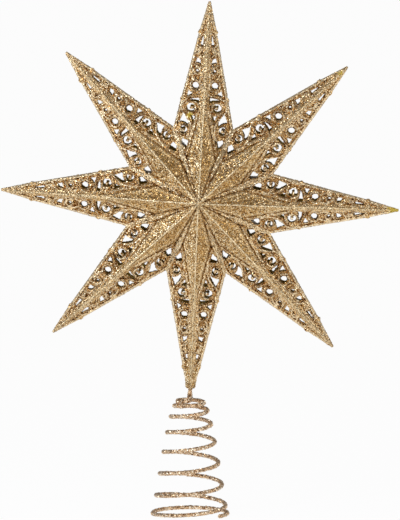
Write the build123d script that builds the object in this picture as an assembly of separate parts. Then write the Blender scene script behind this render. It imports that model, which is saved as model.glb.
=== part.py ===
from build123d import *
import math
import os

# Christmas tree topper: a hollow eight-armed star of two moulded openwork halves, on a conical wire
# spring that is pushed over the leader of the tree. The origin is the middle of the spring's foot,
# +Z is up, and the star faces -Y. Lengths are in millimetres and angles in degrees.

# Star outline, measured in its own plane from its middle
arm_count = 8
arm_length = 114.0
tip_half_width = 0.8
valley_radius = 44.7
shoulder_inset = 16.0
shoulder_half_width = 5.2

# Relief of one half, measured from the parting plane
apex_height = 26.0
tip_height = 2.0
valley_height = 1.6
wall = 1.8
rim_width = 2.1

# Raised inner star: solid kites that join at the middle and run out along the ridges as ribs
kite_step = 1.0
kite_join_radius = 3.0
kite_corner_reach = 24.8
kite_corner_half_width = 7.8
kite_reach_share = 0.46
rib_half_width = 1.6

# Locating lugs on the rim: sockets in the front half, pegs on the back half
lug_reach_shares = (0.506, 0.8456)
lug_radius = 1.7
lug_proud = 0.8
lug_height = 2.2
peg_radius = 0.75
peg_length = 1.0
peg_clearance = 0.1
socket_end_clearance = 0.2

# Stem socket in the bottom tip
socket_mouth_inset = 5.0
socket_depth = 14.0
boss_length = 17.0
boss_mouth_radius = 2.9
boss_root_radius = 4.3

# Spring wire
wire_diameter = 2.2
foot_radius = 21.6
coil_top_radius = 7.0
coil_rise = 65.4
coil_turns = 7
curl_rise = 0.6
stem_bend_radius = 2.8
stem_showing = 4.0
stem_end_gap = 1.0

# Glue between the stem and its socket
glue_thickness = 0.4
glue_fit = 0.05
glue_mouth_gap = 0.3

# The star leans a little to the right on its stem
star_lean = 2.85

# Winding: the level foot goes half round, with a tail past it, before the coil climbs
foot_turn_share = 0.5
tail_turn_share = 0.085
stations_per_turn = 4
climb_end_share = 0.955
climb_power = 1.19
samples_per_arc = 8

# Openwork of one half arm. A place is a share of the arm's length along the ridge, and a share of the
# way across the panel, from the edge of the kite or rib to the outline. A third number is the bow of
# the side that follows, as a share of that side's length.
corner_hole_shares = (
    ((0.263, 0.443, 0.0), (0.3035, 0.273, 0.0), (0.309, 0.651, 0.0), (0.291, 0.799, 0.0)),
    ((0.374, 0.377, 0.0), (0.3965, 0.403, 0.0), (0.437, 0.725, 0.0), (0.395, 0.799, 0.12)),
    ((0.397, 0.216, 0.0), (0.428, 0.190, 0.0), (0.430, 0.382, 0.0)),
    ((0.495, 0.120, 0.0), (0.521, 0.110, 0.0), (0.514, 0.472, 0.0), (0.5035, 0.643, 0.05)),
    ((0.537, 0.380, 0.08), (0.558, 0.740, 0.0), (0.523, 0.755, 0.0)),
    ((0.6825, 0.166, 0.0), (0.7095, 0.223, 0.0), (0.723, 0.567, 0.0), (0.693, 0.646, 0.06)),
    ((0.777, 0.108, 0.0), (0.833, 0.118, 0.0), (0.823, 0.357, 0.0), (0.7825, 0.514, 0.0)),
)
round_hole_place_shares = ((0.579, 0.378), (0.652, 0.402))
scroll_place_shares = ((0.354, 0.563), (0.468, 0.448))
scroll_start_angles = (150.0, 330.0)
scroll_sweep_angle = 250.0

# Sizes of the round holes and of the curved slots in the scrolls, as shares of the panel's width there
round_hole_radius_shares = (0.233, 0.128)
scroll_radius_shares = (0.136, 0.134)
scroll_width_shares = (0.080, 0.116)

# Sizes that follow from these
arm_angle = 360 / arm_count
half_arm_angle = arm_angle / 2
wire_radius = wire_diameter / 2
bore_radius = wire_radius + glue_thickness
valley_along = valley_radius * math.cos(math.radians(half_arm_angle))
valley_across = valley_radius * math.sin(math.radians(half_arm_angle))
kite_join_along = kite_join_radius * math.cos(math.radians(half_arm_angle))
kite_join_across = kite_join_radius * math.sin(math.radians(half_arm_angle))
valley_slope = math.tan(math.radians(half_arm_angle))
shoulder_reach = arm_length - shoulder_inset
kite_reach = kite_reach_share * arm_length
socket_mouth_reach = arm_length - socket_mouth_inset
rim_slope = (valley_across - shoulder_half_width) / (shoulder_reach - valley_along)
kite_slope = (kite_corner_half_width - rib_half_width) / (kite_reach - kite_corner_reach)
ridge_fall = (apex_height - tip_height) / arm_length
side_fall = (apex_height - valley_height - ridge_fall * valley_along) / valley_across
rim_inset = rim_width * math.hypot(1, rim_slope)
block_height = apex_height + kite_step
overrun = wall


def outline_across(along):
    """Half the arm's width, up to the valley line near the middle of the star."""
    return min(valley_slope * along, valley_across - rim_slope * (along - valley_along))


def kite_across(along):
    """Half the width of the kite, or of the rib beyond it."""
    return max(kite_corner_half_width - kite_slope * (along - kite_corner_reach), rib_half_width)


def panel_width(along):
    """The width of the openwork panel, from the kite's edge to the outline."""
    return outline_across(along) - kite_across(along)


def panel_point(along_share, across_share):
    """A place in the openwork panel, between the kite's edge and the outline."""
    along = along_share * arm_length
    return Vector(along, kite_across(along) + across_share * panel_width(along))


def facet_plane(lift):
    """The plane of the half arm's facet, raised or lowered along the moulding's draw."""
    return Plane(origin=(0, 0, apex_height + lift), z_dir=(ridge_fall, side_fall, 1))


def polygon(*points):
    """A flat face with straight sides."""
    return make_face(Polyline(*points, close=True))


def bowed_polygon(corner_shares):
    """A hole with straight or bowed sides between its corners."""
    corners = [panel_point(along, across) for along, across, bow in corner_shares]
    sides = []
    for index, (along, across, bow) in enumerate(corner_shares):
        start = corners[index]
        end = corners[(index + 1) % len(corners)]
        length = (end - start).length
        sides.append(SagittaArc(start, end, bow * length) if bow else Line(start, end))
    return make_face(sides)


def panel_holes():
    """The holes of one half arm, as flat faces."""
    holes = [bowed_polygon(corner_shares) for corner_shares in corner_hole_shares]
    for place_shares, radius_share in zip(round_hole_place_shares, round_hole_radius_shares):
        place = panel_point(*place_shares)
        holes.append(Pos(place) * Circle(radius_share * panel_width(place.X)))
    scrolls = zip(scroll_place_shares, scroll_radius_shares, scroll_width_shares, scroll_start_angles)
    for place_shares, radius_share, width_share, start_angle in scrolls:
        place = panel_point(*place_shares)
        width = panel_width(place.X)
        arc = CenterArc(place, radius_share * width, start_angle, scroll_sweep_angle)
        holes.append(SlotArc(arc, width_share * width))
    return holes


def under_facet(face, lift):
    """The face carried up from the parting plane to the facet."""
    block = extrude(face, block_height + overrun, dir=(0, 0, 1))
    return split(block, bisect_by=facet_plane(lift), keep=Keep.BOTTOM)


def sheet(face, lift):
    """The face as a wall that follows the facet, one wall thick below it."""
    return split(under_facet(face, lift), bisect_by=facet_plane(-wall), keep=Keep.TOP)


def lug_places():
    """The lug centres on one side of an arm, set in so that they stand proud of the rim."""
    inset = (lug_radius - lug_proud) * math.hypot(1, rim_slope)
    reaches = [share * arm_length for share in lug_reach_shares]
    return [Pos(reach, outline_across(reach) - inset) for reach in reaches]


def half_arm():
    """One side of an arm: openwork wall, rim, raised kite with its rib, and lugs."""
    centre = (0, 0)
    valley = (valley_along, valley_across)
    shoulder = (shoulder_reach, shoulder_half_width)
    tip = (arm_length, tip_half_width)
    ridge_end = (arm_length, 0)
    whole = polygon(centre, valley, shoulder, tip, ridge_end)
    inner_valley_along = (valley_across + rim_slope * valley_along - rim_inset) / (valley_slope + rim_slope)
    inner_valley = (inner_valley_along, valley_slope * inner_valley_along)
    inner_shoulder = (shoulder_reach, shoulder_half_width - rim_inset)
    rim = whole - polygon(centre, inner_valley, inner_shoulder, (shoulder_reach, 0))
    kite_join = (kite_join_along, kite_join_across)
    kite_corner = (kite_corner_reach, kite_corner_half_width)
    kite = polygon(centre, kite_join, kite_corner, (kite_reach, rib_half_width), tip, ridge_end)
    openwork = whole - panel_holes()
    lugs = [place * Cylinder(lug_radius, lug_height, align=seated) for place in lug_places()]
    return sheet(openwork, 0).fuse(under_facet(rim, 0), sheet(kite, kite_step), *lugs)


def around(shape):
    """The shape of one half arm on both sides of every arm."""
    pair = (shape, mirror(shape, about=Plane.XZ))
    return [Rot(0, 0, index * arm_angle) * side for index in range(arm_count) for side in pair]


def lug_pins(radius, length):
    """A pin at every lug, through the parting plane."""
    pin = Cylinder(radius, length, align=seated)
    return [copy for place in lug_places() for copy in around(place * pin)]


def along_bottom_arm(shape):
    """A shape made along +Z from the star's middle, turned onto the bottom arm."""
    return Rot(90, 0, 0) * shape


def half_shell():
    """One moulded half, open side down on the parting plane, with half of the stem socket."""
    side, *other_sides = around(half_arm())
    shell = side.fuse(*other_sides)
    boss_root = socket_mouth_reach - boss_length
    boss = Pos(0, 0, boss_root) * Cone(boss_root_radius, boss_mouth_radius, boss_length, align=seated)
    upper_half = Box(2 * arm_length, 2 * arm_length, block_height, align=seated)
    shell = shell.fuse(along_bottom_arm(boss) & upper_half)
    past_mouth = Box(2 * boss_root_radius, 2 * block_height, arm_length, align=seated)
    bore_start = socket_mouth_reach - socket_depth
    bore = Pos(0, 0, bore_start) * Cylinder(bore_radius, socket_depth + overrun, align=seated)
    cuts = [Pos(0, 0, socket_mouth_reach) * past_mouth, bore]
    return shell.cut(*[along_bottom_arm(cut) for cut in cuts])


def make_front_shell(half):
    """The front half, with a blind socket in each lug."""
    socket_depth_in_lug = peg_length + socket_end_clearance
    return half.cut(*lug_pins(peg_radius + peg_clearance, socket_depth_in_lug))


def make_back_shell(half):
    """The back half, the front's mirror image, with a peg on each lug."""
    pegs = lug_pins(peg_radius, peg_length)
    return mirror(half, about=Plane.XY).fuse(*pegs)


def make_stem_glue():
    """The glue that fills the socket around the stem and beyond its end."""
    start = socket_mouth_reach - socket_depth + glue_fit
    plug = Pos(0, 0, start) * Cylinder(
        bore_radius - glue_fit, socket_depth - glue_fit - glue_mouth_gap, align=seated
    )
    stem_start = start + stem_end_gap - glue_fit
    stem = Pos(0, 0, stem_start) * Cylinder(wire_radius + glue_fit, socket_depth, align=seated)
    return along_bottom_arm(plug - stem)


def coil_point(turn):
    """The wire's middle line: level for turns below zero, then climbing and closing in."""
    climbed = max(turn, 0) / coil_turns
    angle = math.radians(180 + 360 * turn)
    radius = foot_radius - (foot_radius - coil_top_radius) * climbed
    full_climb = math.sin(math.radians(90 * climb_end_share))
    climb = (math.sin(math.radians(90 * climb_end_share * climbed)) / full_climb) ** climb_power
    return Vector(radius * math.cos(angle), radius * math.sin(angle), wire_radius + coil_rise * climb)


def coil_heading(turn):
    """The direction in which the coil climbs, from two places close by."""
    step = 1 / samples_per_arc ** 3
    return (coil_point(turn + step) - coil_point(turn - step)).normalized()


def lean_direction():
    """The stem's direction, which is also the star's up."""
    return Vector(math.sin(math.radians(star_lean)), 0, math.cos(math.radians(star_lean)))


def stem_base():
    """Where the wire, curled in to the axis and bent up, becomes the straight stem."""
    return Vector(0, 0, coil_point(coil_turns).Z + curl_rise + stem_bend_radius)


def star_middle():
    """The middle of the star, above the stem along its lean."""
    return stem_base() + lean_direction() * (stem_showing + socket_mouth_reach)


def wire_stations():
    """Places and headings along the wire, a quarter turn apart in the coil, from tail to stem."""
    first_turn = -foot_turn_share - tail_turn_share
    foot = [first_turn, -foot_turn_share, -foot_turn_share / 2]
    turns = foot + [index / stations_per_turn for index in range(coil_turns * stations_per_turn + 1)]
    stations = [(coil_point(turn), coil_heading(turn)) for turn in turns]
    curl_radius = coil_top_radius / 2
    top = coil_point(coil_turns).Z
    front = Vector(-curl_radius, -stem_bend_radius - curl_radius, top + curl_rise / 2)
    stations.append((front, Vector(1, 0, 0)))
    stations.append((Vector(0, -stem_bend_radius, top + curl_rise), Vector(0, 1, 0)))
    stations.append((stem_base(), lean_direction()))
    return stations


def biarc(start, start_heading, end, end_heading):
    """Two arcs that leave and arrive with the given headings and share one in the middle."""
    span = end - start
    both = start_heading + end_heading
    spread = 2 * (1 - start_heading.dot(end_heading))
    reach = (math.sqrt(span.dot(both) ** 2 + spread * span.dot(span)) - span.dot(both)) / spread
    leave = start + start_heading * reach
    arrive = end - end_heading * reach
    middle = (leave + arrive) * 0.5
    heading = (arrive - leave).normalized()
    return [
        Edge.make_tangent_arc(start, start_heading, middle),
        Edge.make_tangent_arc(middle, heading, end),
    ]


def wire_path():
    """The whole wire: straight tail end, foot, coil, curl and straight stem."""
    stations = wire_stations()
    first, first_heading = stations[0]
    edges = [Edge.make_line(first - first_heading * wire_diameter, first)]
    for (start, start_heading), (end, end_heading) in zip(stations, stations[1:]):
        edges += biarc(start, start_heading, end, end_heading)
    stem_length = stem_showing + socket_depth - stem_end_gap
    edges.append(Edge.make_line(stem_base(), stem_base() + lean_direction() * stem_length))
    return edges


def least_gap(edges):
    """The least clear distance between parts of the wire half a turn of the curl or more apart."""
    points = []
    travelled = 0.0
    for edge in edges:
        for index in range(samples_per_arc):
            share = index / samples_per_arc
            points.append((travelled + edge.length * share, edge.position_at(share)))
        travelled += edge.length
    apart = math.pi * coil_top_radius
    distances = [
        (place - other_place).length
        for run, place in points
        for other_run, other_place in points
        if other_run - run > apart
    ]
    return min(distances) - wire_diameter


def make_spring():
    """The glitter-coated wire, swept as one unbroken tube."""
    edges = wire_path()
    path = Wire(edges)
    section = Plane(origin=path.position_at(0), z_dir=path.tangent_at(0)) * Circle(wire_radius)
    radii = [edge.radius for edge in edges if edge.geom_type == GeomType.CIRCLE]
    print(f"spring: least gap {least_gap(edges):.2f}, tightest arc {min(radii):.2f}")
    spring = sweep(section, path=path)
    print(f"spring: volume {spring.volume:.1f}, section times length {section.area * path.length:.1f}")
    return spring


seated = (Align.CENTER, Align.CENTER, Align.MIN)
stand_up = Pos(star_middle()) * Rot(0, star_lean, 0) * Rot(90, 0, 0)
half = half_shell()
nodes = {
    "front_shell": stand_up * make_front_shell(half),
    "back_shell": stand_up * make_back_shell(half),
    "stem_glue": stand_up * make_stem_glue(),
    "spring": make_spring(),
}
os.makedirs("parts", exist_ok=True)
for name, node in nodes.items():
    export_step(node, f"parts/{name}.step")
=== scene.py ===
"""Christmas tree topper: a glittered openwork star of two moulded halves on a conical wire spring.

Sizes are in millimetres in the star's own plane, and become metres when a mesh is made. In that plane
"along" runs from the star's middle out along an arm's ridge, and "across" from the ridge to the rim.
"""
import logging
import math
from collections.abc import Callable
from dataclasses import dataclass
from enum import Enum

import bpy
import numpy as np
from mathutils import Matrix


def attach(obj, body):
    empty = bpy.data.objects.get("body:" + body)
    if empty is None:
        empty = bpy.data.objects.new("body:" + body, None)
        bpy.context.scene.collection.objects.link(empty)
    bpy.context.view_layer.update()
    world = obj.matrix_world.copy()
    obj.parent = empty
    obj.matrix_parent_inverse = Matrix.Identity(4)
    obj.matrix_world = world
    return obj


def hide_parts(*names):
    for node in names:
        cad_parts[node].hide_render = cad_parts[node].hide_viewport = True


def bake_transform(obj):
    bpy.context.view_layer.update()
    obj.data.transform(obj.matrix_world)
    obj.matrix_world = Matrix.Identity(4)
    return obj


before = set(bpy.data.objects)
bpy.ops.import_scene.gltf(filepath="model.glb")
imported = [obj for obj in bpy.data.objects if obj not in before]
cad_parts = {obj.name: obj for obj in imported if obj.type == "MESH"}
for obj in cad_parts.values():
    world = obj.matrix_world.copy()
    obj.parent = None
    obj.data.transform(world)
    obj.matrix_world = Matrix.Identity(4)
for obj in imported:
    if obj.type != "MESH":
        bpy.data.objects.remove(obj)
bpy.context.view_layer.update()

MM = 0.001
TINY = 1e-12
LOG = logging.getLogger("tree_topper")
Array = np.ndarray
Mesh = tuple[Array, Array]
Pair = tuple[float, float]
Tone = tuple[float, float, float]
Tree, Socket = bpy.types.NodeTree, bpy.types.NodeSocket
Node, Material, Object = bpy.types.Node, bpy.types.Material, bpy.types.Object


class Half(Enum):
    """The two mouldings of the star, by the side of the parting plane that they are on."""

    FRONT = 1
    BACK = -1


class Coat(Enum):
    """What the glitter is stuck on."""

    OPENWORK = "glitter_openwork"
    KITES = "glitter_kites"
    WIRE = "glitter_wire"

    @property
    def slot(self) -> str:
        """The record's material slot."""
        return "glitter_wire" if self is Coat.WIRE else "glitter_plastic"


@dataclass(frozen=True)
class StarSizes:
    """The star's sizes, in millimetres, and its lean on the stem."""

    arm_count: int = 8
    bottom_arm: int = 6
    arm_length: float = 114.0
    tip_half_width: float = 0.5
    valley_radius: float = 44.7
    shoulder_reach: float = 98.0
    shoulder_half_width: float = 4.8
    apex_height: float = 26.0
    tip_height: float = 2.0
    tip_taper: float = 0.45
    tip_taper_reach: float = 102.0
    valley_height: float = 1.6
    wall: float = 1.8
    rim_width: float = 2.1
    kite_step: float = 1.0
    kite_join_radius: float = 3.0
    kite_corner: Pair = (24.8, 7.8)
    kite_reach: float = 52.44
    rib_half_width: float = 1.6
    socket_mouth_reach: float = 109.0
    socket_depth: float = 14.0
    socket_clearance: float = 0.4
    boss_length: float = 17.0
    boss_mouth_radius: float = 2.9
    boss_root_radius: float = 4.3
    lug_reaches: Pair = (57.7, 96.4)
    lug_radius: float = 1.7
    lug_proud: float = 0.5
    lug_height: float = 2.2
    lean: float = math.radians(2.85)

    @property
    def half_arm_angle(self) -> float:
        """Half the angle between two arms, in radians."""
        return math.pi / self.arm_count

    def on_valley_line(self, radius: float) -> Pair:
        """The place between two arms at a distance from the middle, along and across."""
        return radius * math.cos(self.half_arm_angle), radius * math.sin(self.half_arm_angle)

    @property
    def valley(self) -> Pair:
        """The outline's valley, along and across."""
        return self.on_valley_line(self.valley_radius)

    @property
    def kite_join(self) -> Pair:
        """Where two kites part, along and across."""
        return self.on_valley_line(self.kite_join_radius)

    @property
    def rim_slope(self) -> float:
        """How fast the outline closes in from the valley to the shoulder."""
        along, across = self.valley
        return (across - self.shoulder_half_width) / (self.shoulder_reach - along)

    @property
    def ridge_fall(self) -> float:
        """How fast a facet falls along the ridge."""
        return (self.apex_height - self.tip_height) / self.arm_length

    @property
    def side_fall(self) -> float:
        """How fast a facet falls from the ridge to the rim."""
        along, across = self.valley
        return (self.apex_height - self.valley_height - self.ridge_fall * along) / across

    def outline(self, along: Array) -> Array:
        """The arm's half width: the valley line, then the rim, then the steeper tip."""
        valley_along, valley_across = self.valley
        stops = (0.0, valley_along, self.shoulder_reach, self.arm_length)
        return np.interp(along, stops, (0.0, valley_across, self.shoulder_half_width, self.tip_half_width))

    def kite_edge(self, along: Array) -> Array:
        """The kite's half width: out to its join and corner, in to the rib, then along that to the tip."""
        join, corner = self.kite_join, self.kite_corner
        stops = (0.0, join[0], corner[0], self.kite_reach, self.arm_length)
        return np.interp(along, stops, (0.0, join[1], corner[1], self.rib_half_width, self.tip_half_width))

    def facet(self, along: Array, across: Array) -> Array:
        """Height of the facet: a plane that falls along and across, with a taper near the tip."""
        plane = self.apex_height - self.ridge_fall * along - self.side_fall * across
        beyond = np.clip((along - self.tip_taper_reach) / (self.arm_length - self.tip_taper_reach), 0, 1)
        return plane * (1 - self.tip_taper * beyond**2)

    def panel_start(self, along: float) -> float:
        """Where the panel starts across: at the edge of the kite or of the rib."""
        return max(float(self.kite_edge(along)), self.rib_half_width)

    def panel_width(self, along: float) -> float:
        """The panel's width, from its start to the outline."""
        return float(self.outline(along)) - self.panel_start(along)

    def panel_point(self, along_share: float, across_share: float) -> Array:
        """A place in the panel, by shares of the arm's length and of the panel's width there."""
        along = along_share * self.arm_length
        return np.array([along, self.panel_start(along) + across_share * self.panel_width(along)])


@dataclass(frozen=True)
class SpringSizes:
    """The spring's sizes, in millimetres, how it winds, and the points along and around its wire."""

    wire_radius: float = 1.1
    foot_radius: float = 21.6
    top_radius: float = 7.0
    rise: float = 65.4
    turns: int = 7
    foot_turns: float = 0.5
    tail_turns: float = 0.085
    curl_rise: float = 0.6
    bend_radius: float = 2.8
    stem_showing: float = 4.0
    stem_in_socket: float = 13.0
    climb_end: float = 0.955
    climb_power: float = 1.19
    points_per_turn: int = 160
    tail_points: int = 8
    run_points: int = 8
    curl_points: int = 60
    bend_points: int = 24
    stem_points: int = 40
    sides: int = 14

    @property
    def top(self) -> float:
        """The height of the wire's middle at the end of the coil."""
        return self.wire_radius + self.rise


@dataclass(frozen=True)
class Scroll:
    """A volute's raised strand: an even spiral from its outer to its inner radius, in millimetres."""

    middle: Pair
    outer_radius: float
    inner_radius: float
    start_angle: float
    sweep_angle: float


@dataclass(frozen=True)
class Slot:
    """A curved slot inside a volute, by shares of the panel, and the angle that it starts at."""

    place: Pair
    radius: float
    width: float
    start_angle: float


@dataclass(frozen=True)
class OpenworkPattern:
    """One panel of scrollwork: its holes by shares of the panel, its raised strands in millimetres.

    A corner hole's first number is the bow of its last side, as a share of that side's length. A round
    hole's third number is its radius. It and the sizes of slots are shares of the panel's width there. The
    valley bar goes by its distance from the middle, half width and rise.
    """

    corner_holes: tuple = (
        (0.0, (0.263, 0.443), (0.3035, 0.273), (0.309, 0.651), (0.291, 0.799)),
        (0.12, (0.374, 0.377), (0.3965, 0.403), (0.437, 0.725), (0.395, 0.799)),
        (0.0, (0.397, 0.216), (0.428, 0.190), (0.430, 0.382)),
        (0.05, (0.495, 0.120), (0.521, 0.110), (0.514, 0.472), (0.5035, 0.643)),
        (0.08, (0.558, 0.740), (0.523, 0.755), (0.537, 0.380)),
        (0.06, (0.6825, 0.166), (0.7095, 0.223), (0.723, 0.567), (0.693, 0.646)),
        (0.0, (0.777, 0.108), (0.833, 0.118), (0.823, 0.357), (0.7825, 0.514)),
    )
    round_holes: tuple = ((0.579, 0.378, 0.213), (0.652, 0.402, 0.128))
    slots: tuple = (Slot((0.354, 0.563), 0.136, 0.080, 150.0), Slot((0.468, 0.448), 0.134, 0.116, 330.0))
    slot_sweep_angle: float = 250.0
    strands: tuple = (
        ((34.5, 8.6), (38.0, 7.0), (41.5, 6.9), (44.5, 7.6), (47.5, 9.4), (50.3, 12.2), (53.5, 12.9),
         (56.8, 11.6), (58.6, 9.4), (59.9, 6.4), (60.8, 3.0)),
        ((43.0, 5.9), (46.6, 4.3), (50.3, 4.0)),
        ((49.2, 5.6), (50.0, 8.4), (51.0, 10.8)),
        ((69.6, 7.0), (72.0, 7.9), (75.4, 7.6)),
        ((69.0, 3.2), (71.4, 2.5), (74.2, 2.3)),
        ((76.4, 2.2), (76.8, 4.4), (77.6, 6.8)),
        ((81.9, 2.3), (83.4, 4.0), (84.6, 6.3)),
        ((87.6, 2.1), (88.0, 3.6), (88.6, 5.2)),
        ((96.0, 1.7), (95.0, 3.0), (93.6, 4.4)),
    )
    scrolls: tuple = (
        Scroll((40.6, 11.3), 2.9, 0.3, 120.0, 560.0),
        Scroll((53.3, 7.5), 3.3, 0.4, 15.0, -500.0),
        Scroll((66.0, 5.5), 3.1, 3.1, 0.0, 360.0),
        Scroll((74.3, 5.05), 2.0, 1.7, 200.0, 400.0),
        Scroll((86.2, 3.9), 1.3, 0.3, 180.0, -420.0),
    )
    strand_half_width: float = 0.7
    strand_height: float = 1.4
    rim_bead_half_width: float = 0.85
    frame_half_width: float = 0.6
    groove_width: float = 0.6
    valley_bar: tuple = (
        (0.0, 0.3, 1.4), (4.0, 0.5, 1.4), (26.0, 1.6, 1.3), (38.0, 1.7, 1.1), (44.7, 1.3, 1.0)
    )
    # Painted shade beside the valley bar, on the web, beside the bars and in the groove by the kite; painted
    # highlight on strand tops.
    valley_bar_painted_shade: float = 0.18
    web_drop: float = 1.15
    web_painted_shade: float = 0.12
    foot_painted_shade: float = 0.6
    groove_reach: float = 1.0
    groove_painted_shade: float = 0.55
    foot_width: float = 0.5
    strand_painted_highlight: float = 0.6
    rib_plateau: float = 1.6
    rib_rise: float = 0.75
    rib_fade: float = 14.0
    hole_growths: Pair = (0.15, -0.2)
    growth_reaches: Pair = (56.0, 64.0)
    hole_round: float = 0.7
    hole_fall: float = 0.2
    curve_points: int = 24
    round_points: int = 48
    strand_points: int = 8
    scroll_points: int = 72


@dataclass(frozen=True)
class GlitterFinish:
    """A coat of glitter: the tones of its flakes, their size, tilt and gloss, and what is under it."""

    coat: Coat
    dark: Tone
    middle: Tone
    light: Tone
    flakes_per_metre: float = 1900.0
    # Strengths of the painted highlight on raised edges and of the painted shade in recesses.
    painted_highlight_strength: float = 0.8
    recess_shade: float = 0.8
    under: Tone = (0.82, 0.62, 0.12)
    bare_specular: float = 0.15
    tilt: float = 0.9
    gloss: Pair = (0.14, 0.45)


FINISHES = (
    GlitterFinish(Coat.OPENWORK, (0.19, 0.06, 0.007), (0.84, 0.555, 0.225), (1.0, 0.89, 0.66)),
    GlitterFinish(Coat.KITES, (0.13, 0.062, 0.018), (0.655, 0.397, 0.136), (0.96, 0.82, 0.56), 2000.0, 0.7),
    GlitterFinish(Coat.WIRE, (0.28, 0.14, 0.06), (0.78, 0.54, 0.315), (1.0, 0.89, 0.72), 1300.0),
)
# Between the first levels a flake's random tone goes from dark to middle, between the next on to light.
MIDDLE_LEVELS = (0.0, 0.45)
LIGHT_LEVELS = (0.5, 1.0)
# A flake is gone where its random hold and the bare mark together pass the bare levels.
FLAKE_HOLD = 0.5
BARE_LEVELS = (0.7, 0.8)


@dataclass(frozen=True)
class GlueFinish:
    """Amber hot-melt glue, clouded a little."""

    dark: Tone = (0.72, 0.58, 0.33)
    light: Tone = (0.86, 0.76, 0.54)
    roughness: float = 0.35
    clouds_per_metre: float = 900.0


# Meshes worked out as whole arrays


@dataclass
class Wall:
    """A closed body of triangles, in metres, with marks for each point or for all.

    The first mark is painted light: 1 is painted shade in a groove, -1 a painted highlight on a raised edge.
    The bare mark runs from 0 to 1.
    """

    points: Array
    faces: Array
    recess: Array | float = 0.0
    bare: Array | float = 0.0


def turned(along: Array, across: Array, angle: float) -> tuple[Array, Array]:
    """Places in the star's plane, turned by an angle about its middle."""
    cos, sin = math.cos(angle), math.sin(angle)
    return along * cos - across * sin, along * sin + across * cos


def grid_faces(rows: int, columns: int, closed: bool = False) -> Array:
    """Two triangles for each cell of a grid of points; if closed, the last column joins the first."""
    place = np.arange(rows * columns).reshape(rows, columns)
    if closed:
        place = np.c_[place, place[:, :1]]
    a, b = place[:-1, :-1].ravel(), place[1:, :-1].ravel()
    c, d = place[1:, 1:].ravel(), place[:-1, 1:].ravel()
    return np.vstack([np.c_[a, b, c], np.c_[a, c, d]])


def turned_to(faces: Array, first: Array) -> Array:
    """The triangles with their corners turned so that the marked corner comes first."""
    start = np.argmax(first, axis=1)
    return faces[np.arange(len(faces))[:, None], (start[:, None] + np.arange(3)) % 3]


def clip(points: Array, faces: Array, inside: Array) -> Mesh:
    """Keep the part of a surface where a field is positive, cutting triangles along its zero line.

    Args:
        points: the points, one a row.
        faces: the triangles.
        inside: the field at each point.
    Returns:
        The points and triangles that are left.
    """
    kept = inside >= 0
    count = kept[faces].sum(axis=1)
    lone = turned_to(faces[count == 1], kept[faces[count == 1]])
    pair = turned_to(faces[count == 2], ~kept[faces[count == 2]])
    ends = np.vstack([lone[:, [0, 1]], lone[:, [0, 2]], pair[:, [0, 1]], pair[:, [0, 2]]])
    edges, place = np.unique(np.sort(ends, axis=1), axis=0, return_inverse=True)
    low, high = inside[edges[:, 0]], inside[edges[:, 1]]
    share = (low / (low - high))[:, None]
    cuts = points[edges[:, 0]] * (1 - share) + points[edges[:, 1]] * share
    place = place.ravel() + len(points)
    lone_b, lone_c, pair_b, pair_c = np.split(place, np.cumsum([len(lone), len(lone), len(pair)]))
    whole, corner = faces[count == 3], np.c_[lone[:, 0], lone_b, lone_c]
    made = np.vstack([whole, corner, np.c_[pair_b, pair[:, 1:]], np.c_[pair_b, pair[:, 2], pair_c]])
    used, renumbered = np.unique(made, return_inverse=True)
    return np.vstack([points, cuts])[used], renumbered.reshape(-1, 3)


def weld(points: Array, faces: Array, step: float = 1e-4) -> Mesh:
    """Join points whose places round to the same step, and drop the triangles that this closes up."""
    keys = np.round(points[:, :3] / step).astype(np.int64)
    _, kept, renumbered = np.unique(keys, axis=0, return_index=True, return_inverse=True)
    faces = renumbered.ravel()[faces]
    whole = (faces != np.roll(faces, 1, axis=1)).all(axis=1)
    return points[kept], faces[whole]


def thicken(outer: Array, inner: Array, faces: Array) -> Mesh:
    """Close a surface with points on an outer and an inner side, by walls along its open edges."""
    count = len(outer)
    edges = np.vstack([faces[:, [0, 1]], faces[:, [1, 2]], faces[:, [2, 0]]])
    forward = edges[:, 0] * count + edges[:, 1]
    backward = edges[:, 1] * count + edges[:, 0]
    a, b = edges[~np.isin(forward, backward)].T
    walls = np.vstack([np.c_[a, a + count, b + count], np.c_[a, b + count, b]])
    return np.vstack([outer, inner]), np.vstack([faces, faces[:, ::-1] + count, walls])


def distance_to_path(points: Array, path: Array) -> Array:
    """The least distance of each point from a line of straight steps between corners."""
    start, step = path[:-1], np.diff(path, axis=0)
    offset = points[:, None, :] - start[None]
    share = np.clip((offset * step).sum(-1) / np.maximum((step**2).sum(-1), TINY), 0, 1)
    return np.sqrt(((offset - share[..., None] * step) ** 2).sum(-1)).min(axis=1)


def inside_path(points: Array, path: Array) -> Array:
    """Which points lie inside a closed line, by counting its sides ahead of each along the first axis."""
    start, end = path, np.roll(path, -1, axis=0)
    x, y = points[:, :1], points[:, 1:]
    spans = (start[:, 1] > y) != (end[:, 1] > y)
    rise = np.where(end[:, 1] == start[:, 1], TINY, end[:, 1] - start[:, 1])
    crossing = start[:, 0] + (y - start[:, 1]) * (end[:, 0] - start[:, 0]) / rise
    return (spans & (x < crossing)).sum(axis=1) % 2 == 1


def smooth_line(corners: Array, steps: int) -> Array:
    """A Catmull-Rom line through corners, with some even steps between each two."""
    ends = np.vstack([2 * corners[:1] - corners[1:2], corners, 2 * corners[-1:] - corners[-2:-1]])
    share = np.linspace(0, 1, steps, endpoint=False)[None, :, None]
    p0, p1, p2, p3 = (ends[i : len(ends) - 3 + i, None, :] for i in range(4))
    bend = (2 * p0 - 5 * p1 + 4 * p2 - p3) * share + (3 * p1 - p0 - 3 * p2 + p3) * share**2
    line = p1 + 0.5 * share * (p2 - p0 + bend)
    return np.vstack([line.reshape(-1, corners.shape[1]), corners[-1:]])


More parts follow.
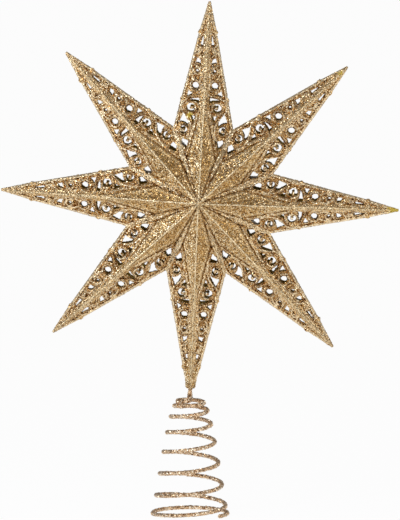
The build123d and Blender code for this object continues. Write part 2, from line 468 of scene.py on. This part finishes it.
def tube(path: Array, radius: Array, sides: int, tip: float = 0.35) -> Mesh:
    """A round tube along a path, with closed ends; a tipped upright keeps its section from twisting.

    Args:
        path: the middle line.
        radius: the tube's radius at each point of the path.
        sides: points around it.
        tip: how far that upright is tipped, so that it never lies along the path.
    Returns:
        Its points, ring by ring and then the ends, and its triangles.
    """
    heading = np.gradient(path, axis=0)
    heading /= np.linalg.norm(heading, axis=1)[:, None]
    side = np.cross(heading, np.array([0.0, 0.0, 1.0]) + tip * np.roll(heading, 1, axis=1))
    side /= np.linalg.norm(side, axis=1)[:, None]
    other = np.cross(heading, side)
    angle = np.linspace(0, 2 * np.pi, sides, endpoint=False)
    ring = np.cos(angle)[None, :, None] * side[:, None] + np.sin(angle)[None, :, None] * other[:, None]
    points = (path[:, None] + radius[:, None, None] * ring).reshape(-1, 3)
    count, here = len(points), np.arange(sides)
    after, last_ring = np.roll(here, -1), count - sides
    first_cap = np.c_[np.full(sides, count), here, after]
    last_cap = np.c_[np.full(sides, count + 1), last_ring + after, last_ring + here]
    faces = [grid_faces(len(path), sides, closed=True)[:, ::-1], first_cap, last_cap]
    return np.vstack([points, path[[0, -1]]]), np.vstack(faces)


def lathe(profile: Array, sides: int) -> Mesh:
    """A closed round body about the along axis: a profile of (along, radius), turned full circle."""
    angle = np.linspace(0, 2 * np.pi, sides, endpoint=False)
    along = np.repeat(profile[:, :1], sides, axis=1)
    points = np.stack([along, profile[:, 1:] * np.cos(angle), profile[:, 1:] * np.sin(angle)], axis=-1)
    return weld(points.reshape(-1, 3), grid_faces(len(profile), sides, closed=True)[:, ::-1])


def put(name: str, data: bpy.types.ID) -> Object:
    """Make an object in the scene from a mesh, a lamp or a camera."""
    made = bpy.data.objects.new(name, data)
    bpy.context.scene.collection.objects.link(made)
    return made


def put_mesh(name: str, wall: Wall, material: Material) -> Object:
    """Make an object at the origin from a wall, with its marks as attributes.

    Args:
        name: the piece's name.
        wall: its points, triangles and marks.
        material: its material.
    Returns:
        The new object, with flat faces.
    """
    faces = wall.faces
    mesh = bpy.data.meshes.new(name)
    mesh.vertices.add(len(wall.points))
    mesh.vertices.foreach_set("co", wall.points.astype(np.float32).ravel())
    mesh.loops.add(faces.size)
    mesh.loops.foreach_set("vertex_index", faces.astype(np.int32).ravel())
    mesh.polygons.add(len(faces))
    mesh.polygons.foreach_set("loop_start", np.arange(0, faces.size, 3, dtype=np.int32))
    mesh.polygons.foreach_set("use_smooth", np.zeros(len(faces), dtype=bool))
    # The first mark is painted light, shade in grooves and highlights on raised edges; the second is bare
    # glitter.
    for mark, values in (("recess", wall.recess), ("bare", wall.bare)):
        layer = mesh.attributes.new(mark, "FLOAT", "POINT")
        layer.data.foreach_set("value", np.broadcast_to(values, len(wall.points)).astype(np.float32))
    mesh.update(calc_edges=True)
    mesh.materials.append(material)
    LOG.info("%s: %d triangles", name, len(faces))
    return put(name, mesh)


# Finishes


def feed(tree: Tree, node: Node, given: dict) -> None:
    """Link or set a node's inputs: for each name or number, another node's socket or a fixed value."""
    for key, value in given.items():
        if isinstance(value, Socket):
            tree.links.new(value, node.inputs[key])
        else:
            node.inputs[key].default_value = value


def add_node(tree: Tree, kind: str, given: dict, **settings: object) -> Node:
    """Add a node of a kind with its settings, then link or set its inputs."""
    node = tree.nodes.new(kind)
    for name, value in settings.items():
        setattr(node, name, value)
    feed(tree, node, given)
    return node


def sum_node(tree: Tree, operation: str, *given: object, kind: str = "ShaderNodeMath") -> Socket:
    """What an operation makes of numbers, or of vectors with the node's other kind."""
    return add_node(tree, kind, dict(enumerate(given)), operation=operation).outputs[0]


def mix_node(tree: Tree, factor: Socket, first: Socket, second: Socket) -> Socket:
    """A mix of two colours, with the factor's share of the second."""
    return add_node(tree, "ShaderNodeMix", {0: factor, 6: first, 7: second}, data_type="RGBA").outputs[2]


def range_node(tree: Tree, value: Socket, levels: Pair, results: Pair = (0.0, 1.0)) -> Socket:
    """A value spread from one result to another between two levels, and held there beyond them."""
    names = ("From Min", "From Max", "To Min", "To Max")
    given = {"Value": value, **dict(zip(names, (*levels, *results)))}
    return add_node(tree, "ShaderNodeMapRange", given).outputs["Result"]


def new_material(name: str) -> tuple[Material, Tree, Node]:
    """A new material, with its tree and its shader."""
    material = bpy.data.materials.new(name)
    material.use_nodes = True
    return material, material.node_tree, material.node_tree.nodes["Principled BSDF"]


def glitter_group() -> Tree:
    """Build the shared glitter effect: flat flakes in cells, each with its own tone, tilt and gloss.

    Raised edges get a painted highlight, bare places show the moulding under the flakes,
    and recesses get painted shade.

    Returns:
        The node group, with Colour, Metal, Shade and Normal outputs.
    """
    group = bpy.data.node_groups.new("glitter_flakes", "ShaderNodeTree")
    kinds = {
        "NodeSocketVector": (("Place",), ("Normal",)),
        "NodeSocketFloat": (
            ("Flakes", "Tilt", "Recess", "Painted Light Shade", "Painted Highlight", "Bare"), ("Metal", "Shade")
        ),
        "NodeSocketColor": (("Dark", "Middle", "Light", "Under"), ("Colour",)),
    }
    for kind, ways in kinds.items():
        for way, names in zip(("INPUT", "OUTPUT"), ways):
            for name in names:
                group.interface.new_socket(name, in_out=way, socket_type=kind)
    given = group.nodes.new("NodeGroupInput").outputs
    cells = add_node(group, "ShaderNodeTexVoronoi", {"Vector": given["Place"], "Scale": given["Flakes"]})
    drawn = cells.outputs["Color"]
    parts = add_node(group, "ShaderNodeSeparateColor", {"Color": drawn}).outputs
    # Painted highlight from the mark's negative side, painted shade from its positive side.
    edge, recess = (
        sum_node(group, "MULTIPLY", range_node(group, given["Recess"], (0.0, end)), given[strength])
        for end, strength in ((-1.0, "Painted Highlight"), (1.0, "Painted Light Shade"))
    )
    worn = sum_node(group, "MULTIPLY_ADD", parts["Green"], FLAKE_HOLD, given["Bare"])
    bare = range_node(group, worn, BARE_LEVELS)
    coated = sum_node(group, "SUBTRACT", 1.0, bare)
    tone = mix_node(group, range_node(group, parts["Red"], MIDDLE_LEVELS), given["Dark"], given["Middle"])
    tone = mix_node(group, range_node(group, parts["Red"], LIGHT_LEVELS), tone, given["Light"])
    # Painted highlight on raised edges, then bare spots, then painted shade in recesses.
    tone = mix_node(group, edge, tone, given["Light"])
    tone = mix_node(group, bare, tone, given["Under"])
    tone = mix_node(group, recess, tone, given["Dark"])
    vectors = "ShaderNodeVectorMath"
    lean = sum_node(group, "SUBTRACT", drawn, (0.5, 0.5, 0.5), kind=vectors)
    tilt = sum_node(group, "MULTIPLY", given["Tilt"], coated)
    tilted = add_node(group, vectors, {0: lean, "Scale": tilt}, operation="SCALE").outputs[0]
    facing = group.nodes.new("ShaderNodeNewGeometry").outputs["Normal"]
    facing = sum_node(group, "ADD", facing, tilted, kind=vectors)
    normal = sum_node(group, "NORMALIZE", facing, kind=vectors)
    made = {"Colour": tone, "Metal": coated, "Shade": parts["Blue"], "Normal": normal}
    feed(group, group.nodes.new("NodeGroupOutput"), made)
    return group


def glitter_material(finish: GlitterFinish, group: Tree) -> Material:
    """A material of metal flakes from the shared effect, with this finish's values.

    Args:
        finish: the coat's tones, flake size, tilt and gloss.
        group: the shared glitter effect.
    Returns:
        The material.
    """
    material, tree, shader = new_material(finish.coat.value)
    given = {
        "Place": tree.nodes.new("ShaderNodeTexCoord").outputs["Object"],
        "Flakes": finish.flakes_per_metre,
        "Tilt": finish.tilt,
        "Painted Light Shade": finish.recess_shade,
        "Painted Highlight": finish.painted_highlight_strength,
    }
    tones = (finish.dark, finish.middle, finish.light, finish.under)
    for socket, tone in zip(("Dark", "Middle", "Light", "Under"), tones):
        given[socket] = (*tone, 1.0)
    # The first mark carries painted shade and painted highlights; the second, bare spots.
    for mark, socket in (("recess", "Recess"), ("bare", "Bare")):
        given[socket] = add_node(tree, "ShaderNodeAttribute", {}, attribute_name=mark).outputs["Fac"]
    flakes = add_node(tree, "ShaderNodeGroup", given, node_tree=group).outputs
    made = {
        "Base Color": flakes["Colour"],
        "Metallic": flakes["Metal"],
        "Roughness": range_node(tree, flakes["Shade"], (0.0, 1.0), finish.gloss),
        "Normal": flakes["Normal"],
        "Specular IOR Level": finish.bare_specular,
    }
    feed(tree, shader, made)
    return material


def glue_material(finish: GlueFinish) -> Material:
    """A material of clouded glue."""
    material, tree, shader = new_material("glue")
    place = tree.nodes.new("ShaderNodeTexCoord").outputs["Object"]
    cloud = add_node(tree, "ShaderNodeTexNoise", {"Vector": place, "Scale": finish.clouds_per_metre})
    tones = add_node(tree, "ShaderNodeValToRGB", {"Fac": cloud.outputs["Fac"]})
    for stop, tone in zip(tones.color_ramp.elements, (finish.dark, finish.light)):
        stop.color = (*tone, 1.0)
    feed(tree, shader, {"Base Color": tones.outputs["Color"], "Roughness": finish.roughness})
    return material


# The star


@dataclass
class Star:
    """The two moulded halves: openwork panels, raised kites with ribs, rim lugs and stem socket.

    A bare spot is a place, right and up, with its radius and how bare its middle is. The lug's profile
    is in shares of its height and radius.
    """

    sizes: StarSizes
    spring: SpringSizes
    pattern: OpenworkPattern
    fan_rows: int = 16
    panel_rows: int = 168
    panel_columns: int = 32
    kite_rows: int = 190
    kite_columns: int = 15
    grain: float = 0.14
    kite_grain: float = 0.085
    thin_wall: float = 0.4
    thin_grain_share: float = 0.3
    least_wall: float = 0.35
    under_kite: float = 0.6
    tuck_slope: float = 0.25
    bead_half_width: float = 0.75
    bead_height: float = 0.35
    # The kite's edge bead gets a weaker painted highlight than its ridge; the shells' inner sides get
    # painted shade.
    edge_bead_painted_highlight: float = 0.4
    inner_painted_shade: float = 0.75
    inner_bareness: float = 0.8
    bare_spots: tuple = ((113.5, 0.0, 7.0, 1.2), (-8.0, 49.0, 1.8, 1.3), (77.0, 77.0, 6.5, 0.6))
    lug_profile: tuple = ((0.0, 0.0), (0.0, 1.0), (0.7, 1.0), (0.92, 0.8), (1.0, 0.4), (1.0, 0.0))
    lug_sides: int = 18
    mouth_round: float = 1.2
    mouth_points: int = 6
    boss_points: int = 26
    boss_sides: int = 40
    seed: int = 7

    def middle(self) -> Array:
        """The star's middle in millimetres: up the leaning stem from the top of the coil."""
        spring, reach = self.spring, self.spring.stem_showing + self.sizes.socket_mouth_reach
        base = spring.top + spring.curl_rise + spring.bend_radius
        lean = self.sizes.lean
        return np.array([math.sin(lean) * reach, 0.0, base + math.cos(lean) * reach])

    def stand_up(self, flat: Array) -> Array:
        """Points of the star's plane (right, up, height), upright, leaning and in place, in metres."""
        right, up, height = flat.T
        right, up = turned(right, up, -self.sizes.lean)
        return (np.c_[right, -height, up] + self.middle()) * MM

    def holes(self) -> list[Array]:
        """The panel's holes as closed lines, along and across; a bowed side is a parabola."""
        pattern, lines = self.pattern, []
        share = np.linspace(0, 1, pattern.curve_points, endpoint=False)[:, None]
        for bow, *corners in pattern.corner_holes:
            places = [self.sizes.panel_point(*corner) for corner in corners]
            sides = [start + (end - start) * share for start, end in zip(places, places[1:] + places[:1])]
            along, across = places[0] - places[-1]
            sides[-1] = sides[-1] + 4 * bow * share * (1 - share) * np.array([-across, along])
            lines.append(np.vstack(sides))
        angle = np.linspace(0, 2 * np.pi, pattern.round_points, endpoint=False)
        for *shares, radius_share in pattern.round_holes:
            middle = self.sizes.panel_point(*shares)
            radius = radius_share * self.sizes.panel_width(middle[0])
            lines.append(middle + radius * np.c_[np.cos(angle), np.sin(angle)])
        return lines

    def slots(self) -> list[tuple[Array, float]]:
        """The curved slots inside the volutes: each a middle line and half its width."""
        made, sweep = [], self.pattern.slot_sweep_angle
        for slot in self.pattern.slots:
            middle = self.sizes.panel_point(*slot.place)
            width = self.sizes.panel_width(middle[0])
            end_angle = slot.start_angle + sweep
            angle = np.radians(np.linspace(slot.start_angle, end_angle, self.pattern.curve_points))
            line = middle + slot.radius * width * np.c_[np.cos(angle), np.sin(angle)]
            made.append((line, slot.width * width / 2))
        return made

    def strands(self) -> list[Array]:
        """The middle lines of the raised strands: S-scrolls, then volutes."""
        pattern = self.pattern
        lines = [smooth_line(np.array(strand), pattern.strand_points) for strand in pattern.strands]
        for scroll in pattern.scrolls:
            radius = np.linspace(scroll.outer_radius, scroll.inner_radius, pattern.scroll_points)
            angle = np.radians(scroll.start_angle + np.linspace(0, scroll.sweep_angle, len(radius)))
            lines.append(np.array(scroll.middle) + radius[:, None] * np.c_[np.cos(angle), np.sin(angle)])
        return lines

    def hole_field(self, places: Array) -> Array:
        """The distance of each place from the nearest hole's edge, negative inside a hole."""
        pattern, nearest = self.pattern, np.full(len(places), np.inf)
        for line in self.holes():
            distance = distance_to_path(places, np.vstack([line, line[:1]]))
            nearest = np.minimum(nearest, np.where(inside_path(places, line), -distance, distance))
        for line, half_width in self.slots():
            nearest = np.minimum(nearest, distance_to_path(places, line) - half_width)
        return nearest - np.interp(places[:, 0], pattern.growth_reaches, pattern.hole_growths)

    def panel_relief(self, places: Array) -> tuple[Array, Array]:
        """Height of the openwork above its web, and the painted shade and highlight on it.

        Strands, rim and valley bar are half round, with a groove beside the rim and beside the kite.
        The web, the bars' feet and the kite's groove get painted shade; strand tops get a painted highlight.

        Args:
            places: along and across.
        Returns:
            The height and the painted light mark of each place: painted shade above zero, painted highlight
            below.
        """
        pattern, sizes = self.pattern, self.sizes
        along, across = places.T
        stops = np.array([sizes.valley[0], sizes.shoulder_reach, sizes.arm_length])
        rim = np.c_[stops, sizes.outline(stops) - pattern.rim_bead_half_width]
        kite_edge = np.array([sizes.kite_corner, (sizes.kite_reach, sizes.rib_half_width)])
        frame_line = kite_edge + [0.0, pattern.groove_width + pattern.frame_half_width]
        lines = [(line, pattern.strand_half_width) for line in self.strands()]
        lines += [(rim, pattern.rim_bead_half_width), (frame_line, pattern.frame_half_width)]
        bars = [(distance_to_path(places, line), width, 1.0, pattern.foot_painted_shade) for line, width in lines]
        from_valley = along * math.sin(sizes.half_arm_angle) - across * math.cos(sizes.half_arm_angle)
        reaches, *values = np.array(pattern.valley_bar).T
        valley_width, valley_rise = (np.interp(np.hypot(along, across), reaches, value) for value in values)
        bars.append((from_valley, valley_width, valley_rise, pattern.valley_bar_painted_shade))
        share = foot = np.zeros(len(places))
        for distance, half_width, rise, shade in bars:
            share = np.maximum(share, rise * np.sqrt(1 - np.clip(distance / half_width, 0, 1) ** 2))
            beside = np.abs(distance - half_width) / pattern.foot_width
            foot = np.maximum(foot, shade * (1 - np.clip(beside, 0, 1)))
        beside_kite = across - sizes.kite_edge(along)
        past_kite = np.clip((along - sizes.kite_reach) / pattern.rib_fade, -0.5, 0.5) + 0.5
        plateau = 1 - np.clip(beside_kite / pattern.rib_plateau, 0, 1) ** 2
        share = np.maximum(share, pattern.rib_rise * past_kite * plateau)
        near = 1 - np.clip(self.hole_field(places) / pattern.hole_round, 0, 1)
        low, high = 1 - np.clip(2 * share, 0, 1), np.clip(2 * share - 1, 0, 1)
        # Painted shade on the web and at the feet of the bars, painted highlight on the strand tops.
        recess = low * np.maximum(pattern.web_painted_shade, foot) - pattern.strand_painted_highlight * high
        # A painted shadow line along the kite's edge, fading out along the rib.
        groove = (1 - past_kite) * (1 - np.clip(beside_kite / pattern.groove_reach, 0, 1))
        recess = np.where(groove > 0, np.maximum(recess, pattern.groove_painted_shade * groove), recess)
        return pattern.strand_height * share - pattern.hole_fall * near**2, recess

    def panel(self, cut_at: float) -> Mesh:
        """One openwork panel, on a grid between the kite's edge and the outline, with its holes cut out.

        The first rows fan out from the outline's valley to the kite's edge between its join and its corner.

        Args:
            cut_at: how far along the arm the panel ends.
        Returns:
            Points as along, across, outer height, inner height and painted light mark, and triangles.
        """
        sizes = self.sizes
        join, corner = sizes.kite_join[0], sizes.kite_corner[0]
        fan = np.linspace(0, 1, self.fan_rows, endpoint=False)[:, None]
        u = np.linspace(0, 1, self.panel_rows)[:, None]
        v = np.linspace(0, 1, self.panel_columns)[None]
        fan_along, arm_along = join + (corner - join) * fan, corner + (sizes.arm_length - corner) * u
        inner_along = np.vstack([fan_along, arm_along])
        outer_along = sizes.valley[0] + (sizes.arm_length - sizes.valley[0]) * np.vstack([0 * fan, u])
        tuck = np.minimum(self.under_kite, self.tuck_slope * (inner_along - join))
        inner_across = np.maximum(sizes.kite_edge(inner_along) - tuck, 0)
        along = inner_along + (outer_along - inner_along) * v
        across = inner_across + (sizes.outline(outer_along) - inner_across) * v
        places = np.c_[along.ravel(), across.ravel()]
        faces = grid_faces(self.fan_rows + self.panel_rows, self.panel_columns)
        places, faces = clip(places, faces, self.hole_field(places))
        if cut_at < sizes.arm_length:
            places, faces = clip(places, faces, cut_at - places[:, 0])
        along, across = places.T
        facet = sizes.facet(along, across)
        rim = (sizes.outline(along) - across < sizes.rim_width) | (along > sizes.shoulder_reach)
        inner = np.where(rim, 0.0, np.maximum(facet - sizes.wall, 0.0))
        relief, recess = self.panel_relief(places)
        outer = np.maximum(facet - self.pattern.web_drop + relief, inner + self.least_wall)
        return np.c_[places, outer, inner, recess], faces

    def kite(self, cut_at: float) -> Mesh:
        """Half a raised kite with its rib, on a grid from the ridge to the kite's edge.

        Two columns on each side follow the beads on the ridge and at the edge.

        Args:
            cut_at: how far along the arm the rib ends.
        Returns:
            Points and triangles, as for the panel.
        """
        sizes, half_width = self.sizes, self.bead_half_width
        along = np.linspace(0, sizes.arm_length, self.kite_rows)[:, None]
        width, bead = sizes.kite_edge(along), half_width * np.array([[0.0, 0.5]])
        bead = bead * np.minimum(1, width / (4 * half_width))
        rest = np.linspace(0, 1, self.kite_columns - 2 * bead.shape[1])[None]
        inner, outer = 2 * bead[:, 1:], width - 2 * bead[:, 1:]
        across = np.hstack([bead, inner + (outer - inner) * rest, width - bead[:, ::-1]])
        places = np.c_[np.repeat(along, self.kite_columns), across.ravel()]
        faces = grid_faces(self.kite_rows, self.kite_columns)
        if cut_at < sizes.arm_length:
            places, faces = clip(places, faces, cut_at - places[:, 0])
        along, across = places.T
        facet = sizes.facet(along, across)
        edge = sizes.kite_edge(along) - across
        to_ridge = 1 - np.clip(across / half_width, 0, 1)
        to_edge = 1 - np.clip(np.abs(edge - half_width) / half_width, 0, 1)
        raised = np.maximum(to_ridge, to_edge)
        rounding = sizes.side_fall * half_width / 2 * to_ridge**2
        outer = facet + sizes.kite_step + self.bead_height * np.sqrt(1 - (1 - raised) ** 2) - rounding
        # Painted highlight on the ridge bead and, weaker, on the edge bead.
        recess = -np.maximum(to_ridge, self.edge_bead_painted_highlight * to_edge)
        return np.c_[places, outer, np.maximum(facet - sizes.wall, 0.0), recess], faces

    def around(self, make: Callable[[float], Mesh], half: Half, arms: range, grain: float) -> Wall:
        """Copy a half arm's sheet to both sides of some arms, weld it, roughen it and close it.

        Args:
            make: builds the sheet for an arm that ends at a given reach.
            half: the moulding it belongs to.
            arms: which arms.
            grain: how rough the coat is, in millimetres.
        Returns:
            The closed wall.
        """
        sizes = self.sizes
        usual, short = make(sizes.arm_length), make(sizes.socket_mouth_reach)
        points, faces, count = [], [], 0
        for arm in arms:
            sheet, corners = short if arm == sizes.bottom_arm else usual
            for side in (1, -1):
                right, up = turned(sheet[:, 0], side * sheet[:, 1], 2 * arm * sizes.half_arm_angle)
                points.append(np.c_[right, up, sheet[:, 2:]])
                faces.append(corners[:, :: side * half.value] + count)
                count += len(sheet)
        points, faces = weld(np.vstack(points), np.vstack(faces))
        rng = np.random.default_rng(self.seed + half.value)
        rough = rng.normal(0, grain, (len(points), 3))
        rough[points[:, 2] - points[:, 3] < self.thin_wall] *= self.thin_grain_share
        outer = points[:, :3] + rough
        inner = np.c_[outer[:, :2], points[:, 3]]
        body, faces = thicken(*(self.stand_up(flat * [1, 1, half.value]) for flat in (outer, inner)), faces)
        bare = self.bareness(points[:, :2]) if half is Half.FRONT else np.zeros(len(points))
        inside = np.ones(len(points))
        # The inner sides get an even painted shade.
        recess = np.r_[points[:, 4], self.inner_painted_shade * inside]
        return Wall(body, faces, recess, np.r_[bare, self.inner_bareness * inside])

    def bareness(self, places: Array) -> Array:
        """How bare of glitter each place of the star's plane is, fading out from a few spots."""
        spots = np.array(self.bare_spots)
        distance = np.linalg.norm(places[:, None] - spots[None, :, :2], axis=-1) / spots[:, 2]
        return np.clip(spots[:, 3] - distance, 0, 1).max(axis=1)

    def lugs(self, half: Half) -> Wall:
        """The rim lugs of one half, as one wall: small round bosses that stand up from the parting plane."""
        sizes = self.sizes
        profile = np.array(self.lug_profile) * [sizes.lug_height, sizes.lug_radius]
        body, faces = lathe(profile, self.lug_sides)
        body = body[:, [1, 2, 0]]
        inset = (sizes.lug_radius - sizes.lug_proud) * math.hypot(1, sizes.rim_slope)
        rng = np.random.default_rng(self.seed)
        points, corners = [], []
        for arm in range(sizes.arm_count):
            for reach in sizes.lug_reaches:
                for side in (1, -1):
                    across = side * (float(sizes.outline(reach)) - inset)
                    along, over, height = (body + rng.normal(0, self.grain, body.shape)).T
                    right, up = turned(along + reach, over + across, 2 * arm * sizes.half_arm_angle)
                    corners.append(faces + len(points) * len(body))
                    points.append(np.c_[right, up, half.value * np.maximum(height, 0)])
        return Wall(self.stand_up(np.vstack(points)), np.vstack(corners)[:, :: half.value])

    def socket(self) -> Wall:
        """The tapered boss at the bottom tip, with its rounded mouth round the stem."""
        sizes, rounding = self.sizes, self.mouth_round
        mouth, root = sizes.socket_mouth_reach, sizes.socket_mouth_reach - sizes.boss_length
        bore, inner_end = self.spring.wire_radius + sizes.socket_clearance, mouth - sizes.socket_depth
        turn = np.linspace(0, np.pi / 2, self.mouth_points)[1:]
        radius = np.linspace(sizes.boss_root_radius, sizes.boss_mouth_radius, self.boss_points)
        profile = np.vstack(
            [
                [(root, 0.0)],
                np.c_[np.linspace(root, mouth - rounding, self.boss_points), radius],
                np.c_[mouth - rounding * (1 - np.sin(turn)), radius[-1] - rounding * (1 - np.cos(turn))],
                [(mouth, bore), (inner_end, bore), (inner_end, 0.0)],
            ]
        )
        points, faces = lathe(profile, self.boss_sides)
        points += np.random.default_rng(self.seed).normal(0, self.grain, points.shape)
        along, over, height = points.T
        return Wall(self.stand_up(np.c_[over, -along, height]), faces)

    def build(self, coats: dict[Coat, Material]) -> None:
        """Make the pieces of both halves in their coats, and put them on the star body."""
        arms = range(self.sizes.arm_count)
        upper, lower = arms[: len(arms) // 2], arms[len(arms) // 2 :]
        for half in Half:
            side = half.name.lower()
            made = (
                ("openwork_upper", self.around(self.panel, half, upper, self.grain), Coat.OPENWORK),
                ("openwork_lower", self.around(self.panel, half, lower, self.grain), Coat.OPENWORK),
                ("kites", self.around(self.kite, half, arms, self.kite_grain), Coat.KITES),
                ("rim_lugs", self.lugs(half), Coat.OPENWORK),
            )
            for name, wall, coat in made:
                self.add(put_mesh(f"{side}_{name}", wall, coats[coat]), f"{side}_shell")
        self.add(put_mesh("stem_socket", self.socket(), coats[Coat.KITES]), "front_shell")

    def add(self, piece: Object, node: str) -> None:
        """Make a piece stand for a node and ride with the star."""
        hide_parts(node)
        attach(piece, "star")


# The spring


@dataclass
class Spring:
    """The conical wire spring with its level foot, inward curl and leaning stem."""

    sizes: SpringSizes
    lean: float
    grain: float = 0.13
    coat: float = 0.03
    lump: float = 0.5
    lump_reach: float = 2.6
    seed: int = 11

    def coil(self, turn: Array) -> Array:
        """The wire's middle line by turns above the foot: level below zero, then climbing and closing in."""
        sizes = self.sizes
        climbed = np.maximum(turn, 0) / sizes.turns
        angle = np.pi + 2 * np.pi * turn
        radius = sizes.foot_radius - (sizes.foot_radius - sizes.top_radius) * climbed
        full = math.sin(math.pi / 2 * sizes.climb_end)
        climb = (np.sin(np.pi / 2 * sizes.climb_end * climbed) / full) ** sizes.climb_power
        return np.c_[radius * np.cos(angle), radius * np.sin(angle), sizes.wire_radius + sizes.rise * climb]

    def path(self) -> Array:
        """The whole wire, from the tail round the coil, in to the axis and up the stem."""
        sizes, top = self.sizes, self.sizes.top
        first = -sizes.foot_turns - sizes.tail_turns
        turn = np.linspace(first, sizes.turns, int((sizes.turns - first) * sizes.points_per_turn))
        coil = self.coil(turn)
        step = np.linalg.norm(coil[1] - coil[0])
        heading = (coil[0] - coil[1]) / step
        tail = coil[0] + heading * np.linspace(2 * sizes.wire_radius, step, sizes.tail_points)[:, None]
        run = np.linspace(0, sizes.bend_radius, sizes.run_points)[1:]
        straight = np.c_[np.full_like(run, -sizes.top_radius), -run, np.full_like(run, top)]
        curl_radius = sizes.top_radius / 2
        angle = np.linspace(np.pi, 2 * np.pi, sizes.curl_points)[1:]
        curl = np.c_[
            curl_radius * np.cos(angle) - curl_radius,
            curl_radius * np.sin(angle) - sizes.bend_radius,
            top + sizes.curl_rise * np.linspace(0, 1, len(angle)),
        ]
        bend_angle = np.linspace(0, np.pi / 2, sizes.bend_points)[1:]
        bend = np.c_[
            np.zeros_like(bend_angle),
            sizes.bend_radius * (np.sin(bend_angle) - 1),
            top + sizes.curl_rise + sizes.bend_radius * (1 - np.cos(bend_angle)),
        ]
        rise = np.linspace(0, sizes.stem_showing + sizes.stem_in_socket, sizes.stem_points)[1:, None]
        stem = bend[-1] + rise * np.array([math.sin(self.lean), 0.0, math.cos(self.lean)])
        return np.vstack([tail, coil, straight, curl, bend, stem])

    def build(self, material: Material) -> None:
        """Make the wire, with a lump of coat where the stem bends up."""
        sizes, path = self.sizes, self.path()
        stem_base = np.array([0.0, 0.0, sizes.top + sizes.curl_rise + sizes.bend_radius / 2])
        lump = self.lump * np.exp(-(((path - stem_base) / self.lump_reach) ** 2).sum(axis=1))
        points, faces = tube(path, sizes.wire_radius + self.coat + lump, sizes.sides)
        points += np.random.default_rng(self.seed).normal(0, self.grain, points.shape)
        points[:, 2] = np.maximum(points[:, 2], 0.0)
        piece = put_mesh("spring_wire", Wall(points * MM, faces), material)
        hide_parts("spring")
        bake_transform(piece)


# The studio


@dataclass(frozen=True)
class Lamp:
    """A soft square lamp: its place and size in metres, its power in watts and its tint."""

    name: str
    place: tuple[float, float, float]
    size: float
    power: float
    tint: Tone = (1.0, 1.0, 1.0)


@dataclass(frozen=True)
class Studio:
    """Plain pale floor, two soft lamps, and a camera at the photograph's angle.

    The target and the sensor are in millimetres, and the other lengths are in metres.
    """

    pixel_mm: float = 0.5747
    image_height: float = 520.0
    target: tuple[float, float, float] = (5.78, 0.0, 148.05)
    distance: float = 3.0
    azimuth: float = math.radians(1.7)
    elevation: float = math.radians(5.9)
    sensor: float = 24.0
    sight: float = 50.0
    lamps: tuple = (
        Lamp("left", (-0.32, -0.41, 0.45), 0.32, 1.75, (0.92, 1.0, 1.14)),
        Lamp("right", (1.2, -0.8, 0.4), 0.8, 4.2),
    )
    floor_reach: float = 15.0
    floor_roughness: float = 0.9
    paper: tuple = (0.9, 0.9, 0.9, 1.0)
    white: tuple = (1.0, 1.0, 1.0, 1.0)
    white_share: float = 0.96
    surround: float = 0.38

    def camera(self) -> None:
        """A long lens, aimed so that the image covers what the photograph covers."""
        data = bpy.data.cameras.new("camera")
        data.sensor_fit = "VERTICAL"
        data.sensor_height = self.sensor
        data.lens = self.sensor * self.distance / (self.image_height * self.pixel_mm * MM)
        data.clip_end = self.sight
        camera = put("camera", data)
        level = math.cos(self.elevation)
        away = (math.sin(self.azimuth) * level, -math.cos(self.azimuth) * level, math.sin(self.elevation))
        camera.location = np.array(self.target) * MM + np.array(away) * self.distance
        camera.rotation_euler = (math.pi / 2 - self.elevation, 0.0, self.azimuth)
        bpy.context.scene.camera = camera

    def floor(self) -> None:
        """A wide pale floor, which is the background from every side and keeps the object's shadow."""
        reach = (-self.floor_reach, self.floor_reach)
        points = np.array([(x, y, 0.0) for x in reach for y in reach])
        material, tree, shader = new_material("paper")
        dull = {"Base Color": self.paper, "Roughness": self.floor_roughness, "Specular IOR Level": 0.0}
        feed(tree, shader, dull)
        glow = add_node(tree, "ShaderNodeEmission", {"Color": self.white}).outputs["Emission"]
        rays = tree.nodes.new("ShaderNodeLightPath").outputs
        seen = rays["Is Camera Ray"]
        for kind in ("Is Glossy Ray", "Is Transmission Ray"):
            seen = sum_node(tree, "MAXIMUM", seen, rays[kind])
        share = sum_node(tree, "MULTIPLY", seen, self.white_share)
        mix = add_node(tree, "ShaderNodeMixShader", {"Fac": share, 1: shader.outputs["BSDF"], 2: glow})
        tree.links.new(mix.outputs["Shader"], tree.nodes["Material Output"].inputs["Surface"])
        put_mesh("floor", Wall(points, grid_faces(2, 2)), material)

    def light(self) -> None:
        """Soft lamps on both sides, each turned to the object."""
        for lamp in self.lamps:
            data = bpy.data.lights.new(lamp.name, "AREA")
            data.size = lamp.size
            data.energy = lamp.power
            data.color = lamp.tint
            made = put(lamp.name, data)
            made.location = lamp.place
            aim = np.array(self.target) * MM - np.array(lamp.place)
            tip = math.atan2(math.hypot(aim[0], aim[1]), -aim[2])
            made.rotation_euler = (tip, 0.0, math.atan2(aim[0], -aim[1]) + math.pi)

    def world(self) -> None:
        """An even pale surround."""
        world = bpy.data.worlds.new("surround")
        world.use_nodes = True
        background = world.node_tree.nodes["Background"]
        feed(world.node_tree, background, {"Color": self.paper, "Strength": self.surround})
        bpy.context.scene.world = world
        bpy.context.scene.view_settings.view_transform = "Standard"

    def build(self) -> None:
        """Set up everything around the object."""
        self.camera()
        self.floor()
        self.light()
        self.world()


def main() -> None:
    """Build the topper's pieces and the studio."""
    logging.basicConfig(level=logging.INFO, format="%(message)s")
    star_sizes, spring_sizes = StarSizes(), SpringSizes()
    group = glitter_group()
    coats = {finish.coat: glitter_material(finish, group) for finish in FINISHES}
    Star(star_sizes, spring_sizes, OpenworkPattern()).build(coats)
    Spring(spring_sizes, star_sizes.lean).build(coats[Coat.WIRE])
    glue = bpy.data.objects[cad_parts["stem_glue"].name]
    glue.data.materials.clear()
    glue.data.materials.append(glue_material(GlueFinish()))
    Studio().build()


if __name__ == "__main__":
    main()
